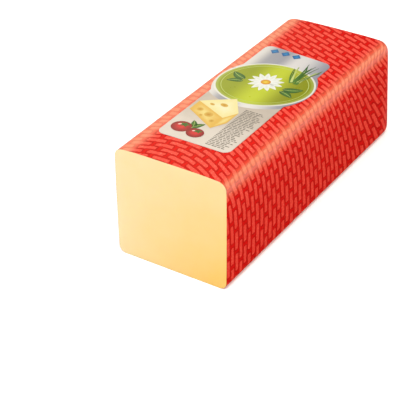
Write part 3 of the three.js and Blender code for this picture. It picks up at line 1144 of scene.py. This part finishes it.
# %% [markdown]
# ## The artwork
#
# In the middle of the green field is a meadow daisy between two pairs of leaves, framed by a fine
# pale ring. A tuft of grass leans into the silver end, with its row of plain blue lozenges. On the
# cream field are a wedge of cheese, two tomatoes, and a panel of short grey bars where a pack has its
# small print.

# %% The daisy and its leaves
DAISY = (-2.8, 147.0)
PETALS = 13
PETAL_LENGTH = 11.0
PETAL_WIDTH = 4.7
PETAL_TUCK = 1.2  # how far a petal starts inside the heart's edge
HEART_RADIUS = 4.2
RING_SCALE = 0.88
RING_GAP = 0.003  # radians, so that the ring's two ends stop a hair apart
LEAVES = [  # root, tip, width, bend
    ((-20.5, 143.0), (-35.0, 150.5), 8.0, 1.2),
    ((-20.0, 139.5), (-33.0, 134.5), 6.5, -1.0),
    ((15.0, 143.0), (30.5, 150.5), 8.0, -1.2),
    ((14.5, 139.5), (28.0, 134.5), 6.5, 1.0),
]

petals, leaves, pale_lines = [], [], []


def add_leaves(rows, vein_width):
    for root, tip, width, bend in rows:
        shape, midrib = leaf(root, tip, width, layer=1, bend=bend)
        leaves.append(shape)
        pale_lines.append(stroke(midrib[1:-2], vein_width, layer=2))


def inner_ring(steps=120):
    """The green oval's edge, scaled about its centre."""
    angle = np.linspace(0, 2 * math.pi - RING_GAP, steps)
    x = RING_SCALE * np.cos(angle)
    y = OVAL_CENTRE + RING_SCALE * GREEN_HALF_LENGTH * np.sin(angle) + OVAL_RISE * x
    return np.stack([OVAL_OFFSET + GREEN_HALF_WIDTH * x, y], axis=-1)


for number in range(PETALS):
    angle = 2 * math.pi * number / PETALS
    direction = np.array([math.cos(angle), math.sin(angle)])
    root = DAISY + direction * (HEART_RADIUS - PETAL_TUCK)
    tip = DAISY + direction * (HEART_RADIUS + PETAL_LENGTH)
    petals.append(leaf(root, tip, PETAL_WIDTH, layer=2 + number % 2)[0])

add_leaves(LEAVES, vein_width=0.35)
pale_lines.append(stroke(inner_ring(), 0.55, layer=1))
heart = patch(*oval(DAISY, HEART_RADIUS, HEART_RADIUS), layer=4)
make_print("label_petals", petals, "petal_ink", (236, 238, 226), (252, 252, 246))
make_print("label_daisy_heart", [heart], "heart_ink", (250, 214, 70), (224, 150, 30))

# %% The grass and the lozenges
GRASS_ROOT = np.array([17.5, 158.0])
GRASS_BLADES = 15
GRASS_FIELD = [-20.0, 150.0], [28.0, 197.5]  # no tip lies outside it
LOZENGE_PLACES = (-24.0, -13.5, -3.0)
LOZENGE_Y = 199.0
LOZENGE_HALF_WIDTH = 4.2
LOZENGE_HALF_HEIGHT = 4.6


def grass_blade(number, random):
    """Its direction fans out with its number, its length, bend and width vary, and it thins to a tip
    as 1 - 0.85 × share to the power 1.5."""
    fan = number / (GRASS_BLADES - 1) - 0.5
    angle = math.radians(88 - 52 * fan + random.uniform(-4, 4))
    length = random.uniform(24, 38) * (1 - 0.9 * fan**2)
    root = GRASS_ROOT + [7 * fan, random.uniform(-3, 3)]
    tip = np.clip(root + length * np.array([math.cos(angle), math.sin(angle)]), *GRASS_FIELD)
    _, midrib = leaf(root, tip, 2.0, layer=2, bend=random.uniform(-2.5, 2.5))
    share = np.linspace(0, 1, len(midrib))
    return stroke(midrib, random.uniform(1.5, 2.3) * (1 - 0.85 * share**1.5), layer=2 + number % 3)


random = np.random.default_rng(3)
for number in range(GRASS_BLADES):
    blades = pale_lines if number % 4 == 2 else leaves
    blades.append(grass_blade(number, random))

lozenges = []
for x in LOZENGE_PLACES:
    high, low = LOZENGE_Y + LOZENGE_HALF_HEIGHT, LOZENGE_Y - LOZENGE_HALF_HEIGHT
    right, left = x + LOZENGE_HALF_WIDTH, x - LOZENGE_HALF_WIDTH
    lozenges.append(polygon([(right, LOZENGE_Y), (x, high), (left, LOZENGE_Y), (x, low)], layer=1))
make_print("label_lozenges", lozenges, "blue_ink", (40, 140, 200), (10, 96, 160))

# %% The wedge of cheese
WEDGE_TOP = [(-32.5, 93.0), (-2.0, 78.5), (5.0, 91.0), (-8.0, 110.5)]
WEDGE_FRONT = [(-32.5, 93.0), (-32.5, 78.0), (-2.0, 60.0), (-2.0, 78.5)]
WEDGE_END = [(-2.0, 78.5), (-2.0, 60.0), (5.0, 73.0), (5.0, 91.0)]
HOLE_TURN = -0.25
WEDGE_HOLES = [  # x, y, half width, half height
    (-24.7, 81.5, 2.9, 2.6),
    (-14.2, 77.5, 3.8, 3.5),
    (-7.0, 70.0, 2.1, 2.2),
    (-19.3, 73.6, 1.6, 1.5),
    (-11.5, 96.5, 3.6, 2.4),
    (-20.5, 93.0, 2.3, 1.5),
]

wedge_top = [polygon(WEDGE_TOP, layer=2)]
wedge_sides = [polygon(WEDGE_FRONT, layer=2), polygon(WEDGE_END, layer=3)]
holes = [patch(*oval((x, y), width, height, HOLE_TURN), layer=3) for x, y, width, height in WEDGE_HOLES]
make_print("label_wedge_top", wedge_top, "pale_cheese_ink", (253, 246, 200), (252, 236, 168))
make_print("label_wedge_sides", wedge_sides, "deep_cheese_ink", (250, 226, 140), (238, 188, 84))
make_print("label_wedge_holes", holes, "hole_ink", (206, 150, 50), (232, 186, 84))

# %% The tomatoes
TOMATOES = [((-22.5, 51.0), 8.6), ((-8.0, 47.8), 7.3)]  # middle, radius
TOMATO_LEAVES = [((-15.0, 52.0), (-8.0, 63.0), 6.0, 0.8), ((-14.0, 53.0), (-19.0, 64.0), 5.4, -0.8)]
CROWN_LEAVES = 5

tomatoes, highlights = [], []
for number, (middle, radius) in enumerate(TOMATOES):
    middle = np.array(middle)
    layer = 2 + 2 * number
    tomatoes.append(patch(*oval(middle, radius, radius * 0.93), layer))
    shine = middle + [-0.35 * radius, 0.3 * radius]
    highlights.append(patch(*oval(shine, 0.2 * radius, 0.12 * radius, turn=0.7), layer + 1))
    crown = middle + [0.1 * radius, 0.42 * radius]
    for angle in np.linspace(0, 2 * math.pi, CROWN_LEAVES, endpoint=False) + 0.3:
        outwards = radius * np.array([math.cos(angle), 0.8 * math.sin(angle)])
        root, tip = crown + 0.03 * outwards, crown + 0.5 * outwards
        leaves.append(leaf(root, tip, 0.24 * radius, layer + 1, rings=2)[0])

add_leaves(TOMATO_LEAVES, vein_width=0.3)
make_print("label_tomatoes", tomatoes, "tomato_ink", (232, 40, 52), (150, 10, 34))
make_print("label_highlights", highlights, "highlight_ink", (255, 236, 230), (246, 170, 160))
make_print("label_leaves", leaves, "leaf_ink", (84, 134, 46), (44, 96, 36))
make_print("label_pale_lines", pale_lines, "pale_line_ink", (208, 222, 130), (196, 212, 112))

# %% The small-print panel
PANEL_LEFT, PANEL_RIGHT = 7.0, 27.0
PANEL_NEAR, PANEL_FAR = 39.0, 99.0
BAR_PITCH = 2.2
BAR_HEIGHT = 1.0
BAR_GAP = 0.8
SHORTEST_BAR = 1.5


def small_print():
    """Rows of short bars of random lengths. A bar that would pass the panel's edge ends its row."""
    random = np.random.default_rng(7)
    bars = []
    for y in np.arange(PANEL_NEAR, PANEL_FAR, BAR_PITCH):
        x = PANEL_LEFT
        row_end = PANEL_RIGHT - random.uniform(0, 5)
        while x < row_end - SHORTEST_BAR:
            end = min(x + random.uniform(1.6, 5.2), row_end)
            bars.append(stroke([(x, y), ((x + end) / 2, y), (end, y)], BAR_HEIGHT, layer=1))
            x = end + BAR_GAP
    return bars


bars = small_print()
make_print("label_small_bars", bars, "grey_ink", (116, 108, 100), (132, 124, 114))
print(f"{len(bars)} grey bars")

# %% [markdown]
# ## The studio
#
# A pack shot is taken on a light table in soft light. The floor is one large, nearly white square
# that glows a little, so that it stays white beside the red film. Two big panels light the top and
# the cut face, from overhead and in front, and one from the right lights the long side. Two low
# panels of warm light behind the block draw soft bright bands along its long edges, over a painted
# highlight in the film's colour there. The world adds a little even light so that no shadow goes
# grey.

# %% Floor
WHITE = (1.0, 1.0, 1.0, 1.0)
FLOOR_REACH = 12.0
FLOOR_GLOW = 0.08

corners = FLOOR_REACH * np.array([(-1, -1, 0), (1, -1, 0), (1, 1, 0), (-1, 1, 0)])
floor_mesh = bpy.data.meshes.new("floor")
floor_mesh.from_pydata(corners.tolist(), [], [(0, 1, 2, 3)])
floor = add_object("floor", floor_mesh)
material, _, shader = new_material("studio_floor")
floor_looks = {
    "Base Color": (0.96, 0.96, 0.96, 1.0),
    "Roughness": 0.9,
    "Specular IOR Level": 0.0,
    "Emission Color": WHITE,
    "Emission Strength": FLOOR_GLOW,
}
fill(shader, floor_looks)
floor_mesh.materials.append(material)

# %% Lights
BLOCK_MIDDLE = np.array([0.0, 0.0, 0.05])
WORLD_LIGHT = 0.22
PANELS = [  # name, place in metres, width and height, power in watts, colour
    ("overhead", (0.12, -0.45, 1.65), (1.6, 1.6), 42.0, (1.0, 1.0, 1.0)),
    ("front", (-0.7, -1.75, 0.8), (1.2, 1.0), 13.0, (1.0, 1.0, 1.0)),
    ("back_left", (-1.08, 1.08, 0.72), (0.9, 0.95), 7.2, (1.0, 0.9, 0.56)),
    ("back_right", (1.08, 1.2, 0.66), (1.0, 1.0), 10.0, (1.0, 0.92, 0.58)),
    ("side_right", (1.25, -0.75, 0.5), (0.8, 0.8), 7.6, (1.0, 1.0, 1.0)),
]

for name, place, size, power, colour in PANELS:
    lamp_data = bpy.data.lights.new(name, "AREA")
    lamp_data.shape = "RECTANGLE"
    lamp_data.size, lamp_data.size_y = size
    lamp_data.energy = power
    lamp_data.color = colour
    back = np.array(place) - BLOCK_MIDDLE
    back /= np.linalg.norm(back)
    right = np.cross([0.0, 0.0, 1.0], back)
    right /= np.linalg.norm(right)
    stand(add_object(name, lamp_data), place, right, np.cross(back, right), back)
print(len(PANELS), "panels of light, all facing the block")

world = bpy.data.worlds.new("studio")
world.use_nodes = True
sky = next(made for made in world.node_tree.nodes if made.type == "BACKGROUND")
fill(sky, {"Color": WHITE, "Strength": WORLD_LIGHT})
bpy.context.scene.world = world
bpy.context.scene.view_settings.view_transform = "Standard"
